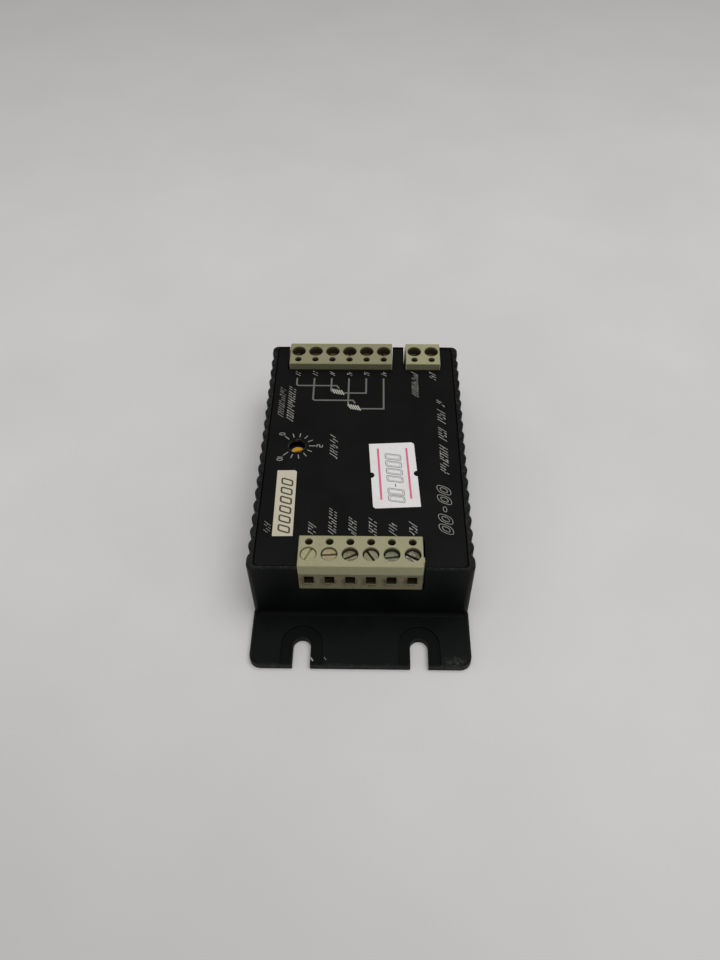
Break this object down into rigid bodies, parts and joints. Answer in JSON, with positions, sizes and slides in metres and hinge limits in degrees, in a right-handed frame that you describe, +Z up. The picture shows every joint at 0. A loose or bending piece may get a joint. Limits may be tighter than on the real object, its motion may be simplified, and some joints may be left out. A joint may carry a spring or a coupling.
{
  "type": "stepper driver module",
  "caption": "Black ribbed cast case with slotted end flanges, screw terminal blocks at both ends and a current trimmer.",
  "frame": {"origin": "middle of the flat underside", "axes": "+Z up out of the printed panel, Y along the ribbed sides, the end with one terminal block at -Y"},
  "size_m": [0.055, 0.109, 0.0246],
  "materials": {
    "case_paint": "black painted casting, worn on its edges",
    "panel": "black, printed, satin",
    "board": "glass-fibre laminate",
    "terminal_plastic": "moulded grey-green",
    "trimmer_blue": "moulded",
    "rotor": "moulded",
    "chip": "moulded epoxy with tinned leads",
    "screw_metal": "zinc plated",
    "contact_metal": "tin plated",
    "capacitor_sleeve": "shrink sleeve",
    "resistor": "cement coating",
    "white_paper": "paper label",
    "beige_paper": "paper label"
  },
  "bodies": {
    "root": {"case": "case_paint", "top_panel": "panel", "circuit_board": "board", "front_terminal_housing": "terminal_plastic", "motor_terminal_housing": "terminal_plastic", "power_terminal_housing": "terminal_plastic", "trimmer_body": "trimmer_blue", "driver_ic": "chip", "driver_screw": "screw_metal", "control_ic": "chip", "smoothing_capacitor": "capacitor_sleeve", "sense_resistor_a": "resistor", "sense_resistor_b": "resistor", "board_screw_front": "screw_metal", "board_screw_rear": "screw_metal", "inventory_label": "white_paper", "serial_label": "beige_paper", "front_contact_1": "contact_metal", "front_contact_2": "contact_metal", "front_contact_3": "contact_metal", "front_contact_4": "contact_metal", "front_contact_5": "contact_metal", "front_contact_6": "contact_metal", "motor_contact_1": "contact_metal", "motor_contact_2": "contact_metal", "motor_contact_3": "contact_metal", "motor_contact_4": "contact_metal", "motor_contact_5": "contact_metal", "motor_contact_6": "contact_metal", "power_contact_1": "contact_metal", "power_contact_2": "contact_metal"},
    "front_clamp_1": {"front_plate_1": "contact_metal"},
    "front_screw_1": {"front_screw_1": "screw_metal"},
    "front_clamp_2": {"front_plate_2": "contact_metal"},
    "front_screw_2": {"front_screw_2": "screw_metal"},
    "front_clamp_3": {"front_plate_3": "contact_metal"},
    "front_screw_3": {"front_screw_3": "screw_metal"},
    "front_clamp_4": {"front_plate_4": "contact_metal"},
    "front_screw_4": {"front_screw_4": "screw_metal"},
    "front_clamp_5": {"front_plate_5": "contact_metal"},
    "front_screw_5": {"front_screw_5": "screw_metal"},
    "front_clamp_6": {"front_plate_6": "contact_metal"},
    "front_screw_6": {"front_screw_6": "screw_metal"},
    "motor_clamp_1": {"motor_plate_1": "contact_metal"},
    "motor_screw_1": {"motor_screw_1": "screw_metal"},
    "motor_clamp_2": {"motor_plate_2": "contact_metal"},
    "motor_screw_2": {"motor_screw_2": "screw_metal"},
    "motor_clamp_3": {"motor_plate_3": "contact_metal"},
    "motor_screw_3": {"motor_screw_3": "screw_metal"},
    "motor_clamp_4": {"motor_plate_4": "contact_metal"},
    "motor_screw_4": {"motor_screw_4": "screw_metal"},
    "motor_clamp_5": {"motor_plate_5": "contact_metal"},
    "motor_screw_5": {"motor_screw_5": "screw_metal"},
    "motor_clamp_6": {"motor_plate_6": "contact_metal"},
    "motor_screw_6": {"motor_screw_6": "screw_metal"},
    "power_clamp_1": {"power_plate_1": "contact_metal"},
    "power_screw_1": {"power_screw_1": "screw_metal"},
    "power_clamp_2": {"power_plate_2": "contact_metal"},
    "power_screw_2": {"power_screw_2": "screw_metal"},
    "trimmer": {"trimmer_rotor": "rotor"}
  },
  "joints": [
    {"name": "front_clamp_1_lift", "type": "slide", "parent": "root", "child": "front_clamp_1", "axis": [0, 0, 1], "range_m": [-0.00225, 0.00025]},
    {"name": "front_screw_1_turn", "type": "hinge", "parent": "front_clamp_1", "child": "front_screw_1", "pos_m": [-0.0125, -0.03695, 0.0246], "axis": [0, 0, 1], "range_deg": [-1800, 200]},
    {"name": "front_clamp_2_lift", "type": "slide", "parent": "root", "child": "front_clamp_2", "axis": [0, 0, 1], "range_m": [-0.00215, 0.00035]},
    {"name": "front_screw_2_turn", "type": "hinge", "parent": "front_clamp_2", "child": "front_screw_2", "pos_m": [-0.0075, -0.03695, 0.0246], "axis": [0, 0, 1], "range_deg": [-1720, 280]},
    {"name": "front_clamp_3_lift", "type": "slide", "parent": "root", "child": "front_clamp_3", "axis": [0, 0, 1], "range_m": [-0.0014, 0.0011]},
    {"name": "front_screw_3_turn", "type": "hinge", "parent": "front_clamp_3", "child": "front_screw_3", "pos_m": [-0.0025, -0.03695, 0.0246], "axis": [0, 0, 1], "range_deg": [-1120, 880]},
    {"name": "front_clamp_4_lift", "type": "slide", "parent": "root", "child": "front_clamp_4", "axis": [0, 0, 1], "range_m": [-0.0016, 0.0009]},
    {"name": "front_screw_4_turn", "type": "hinge", "parent": "front_clamp_4", "child": "front_screw_4", "pos_m": [0.0025, -0.03695, 0.0246], "axis": [0, 0, 1], "range_deg": [-1280, 720]},
    {"name": "front_clamp_5_lift", "type": "slide", "parent": "root", "child": "front_clamp_5", "axis": [0, 0, 1], "range_m": [-0.00125, 0.00125]},
    {"name": "front_screw_5_turn", "type": "hinge", "parent": "front_clamp_5", "child": "front_screw_5", "pos_m": [0.0075, -0.03695, 0.0246], "axis": [0, 0, 1], "range_deg": [-1000, 1000]},
    {"name": "front_clamp_6_lift", "type": "slide", "parent": "root", "child": "front_clamp_6", "axis": [0, 0, 1], "range_m": [-0.0014, 0.0011]},
    {"name": "front_screw_6_turn", "type": "hinge", "parent": "front_clamp_6", "child": "front_screw_6", "pos_m": [0.0125, -0.03695, 0.0246], "axis": [0, 0, 1], "range_deg": [-1120, 880]},
    {"name": "motor_clamp_1_lift", "type": "slide", "parent": "root", "child": "motor_clamp_1", "axis": [0, 0, 1], "range_m": [-0.0003, 0.0022]},
    {"name": "motor_screw_1_turn", "type": "hinge", "parent": "motor_clamp_1", "child": "motor_screw_1", "pos_m": [-0.0194, 0.03545, 0.0246], "axis": [0, 0, 1], "range_deg": [-240, 1760]},
    {"name": "motor_clamp_2_lift", "type": "slide", "parent": "root", "child": "motor_clamp_2", "axis": [0, 0, 1], "range_m": [-0.0002, 0.0023]},
    {"name": "motor_screw_2_turn", "type": "hinge", "parent": "motor_clamp_2", "child": "motor_screw_2", "pos_m": [-0.0144, 0.03545, 0.0246], "axis": [0, 0, 1], "range_deg": [-160, 1840]},
    {"name": "motor_clamp_3_lift", "type": "slide", "parent": "root", "child": "motor_clamp_3", "axis": [0, 0, 1], "range_m": [-0.00025, 0.00225]},
    {"name": "motor_screw_3_turn", "type": "hinge", "parent": "motor_clamp_3", "child": "motor_screw_3", "pos_m": [-0.0094, 0.03545, 0.0246], "axis": [0, 0, 1], "range_deg": [-200, 1800]},
    {"name": "motor_clamp_4_lift", "type": "slide", "parent": "root", "child": "motor_clamp_4", "axis": [0, 0, 1], "range_m": [-0.0001, 0.0024]},
    {"name": "motor_screw_4_turn", "type": "hinge", "parent": "motor_clamp_4", "child": "motor_screw_4", "pos_m": [-0.0044, 0.03545, 0.0246], "axis": [0, 0, 1], "range_deg": [-80, 1920]},
    {"name": "motor_clamp_5_lift", "type": "slide", "parent": "root", "child": "motor_clamp_5", "axis": [0, 0, 1], "range_m": [-0.0003, 0.0022]},
    {"name": "motor_screw_5_turn", "type": "hinge", "parent": "motor_clamp_5", "child": "motor_screw_5", "pos_m": [0.0006, 0.03545, 0.0246], "axis": [0, 0, 1], "range_deg": [-240, 1760]},
    {"name": "motor_clamp_6_lift", "type": "slide", "parent": "root", "child": "motor_clamp_6", "axis": [0, 0, 1], "range_m": [-0.0002, 0.0023]},
    {"name": "motor_screw_6_turn", "type": "hinge", "parent": "motor_clamp_6", "child": "motor_screw_6", "pos_m": [0.0056, 0.03545, 0.0246], "axis": [0, 0, 1], "range_deg": [-160, 1840]},
    {"name": "power_clamp_1_lift", "type": "slide", "parent": "root", "child": "power_clamp_1", "axis": [0, 0, 1], "range_m": [-0.00015, 0.00235]},
    {"name": "power_screw_1_turn", "type": "hinge", "parent": "power_clamp_1", "child": "power_screw_1", "pos_m": [0.0146, 0.03545, 0.0246], "axis": [0, 0, 1], "range_deg": [-120, 1880]},
    {"name": "power_clamp_2_lift", "type": "slide", "parent": "root", "child": "power_clamp_2", "axis": [0, 0, 1], "range_m": [-0.0002, 0.0023]},
    {"name": "power_screw_2_turn", "type": "hinge", "parent": "power_clamp_2", "child": "power_screw_2", "pos_m": [0.0196, 0.03545, 0.0246], "axis": [0, 0, 1], "range_deg": [-160, 1840]},
    {"name": "trimmer_turn", "type": "hinge", "parent": "root", "child": "trimmer", "pos_m": [-0.0177, -0.0005, 0.0195], "axis": [0, 0, 1], "range_deg": [-135, 135]}
  ],
  "couplings": [
    {"joint": "front_screw_1_turn", "follows": "front_clamp_1_lift", "rad_per_m": 13963},
    {"joint": "front_screw_2_turn", "follows": "front_clamp_2_lift", "rad_per_m": 13963},
    {"joint": "front_screw_3_turn", "follows": "front_clamp_3_lift", "rad_per_m": 13963},
    {"joint": "front_screw_4_turn", "follows": "front_clamp_4_lift", "rad_per_m": 13963},
    {"joint": "front_screw_5_turn", "follows": "front_clamp_5_lift", "rad_per_m": 13963},
    {"joint": "front_screw_6_turn", "follows": "front_clamp_6_lift", "rad_per_m": 13963},
    {"joint": "motor_screw_1_turn", "follows": "motor_clamp_1_lift", "rad_per_m": 13963},
    {"joint": "motor_screw_2_turn", "follows": "motor_clamp_2_lift", "rad_per_m": 13963},
    {"joint": "motor_screw_3_turn", "follows": "motor_clamp_3_lift", "rad_per_m": 13963},
    {"joint": "motor_screw_4_turn", "follows": "motor_clamp_4_lift", "rad_per_m": 13963},
    {"joint": "motor_screw_5_turn", "follows": "motor_clamp_5_lift", "rad_per_m": 13963},
    {"joint": "motor_screw_6_turn", "follows": "motor_clamp_6_lift", "rad_per_m": 13963},
    {"joint": "power_screw_1_turn", "follows": "power_clamp_1_lift", "rad_per_m": 13963},
    {"joint": "power_screw_2_turn", "follows": "power_clamp_2_lift", "rad_per_m": 13963}
  ]
}
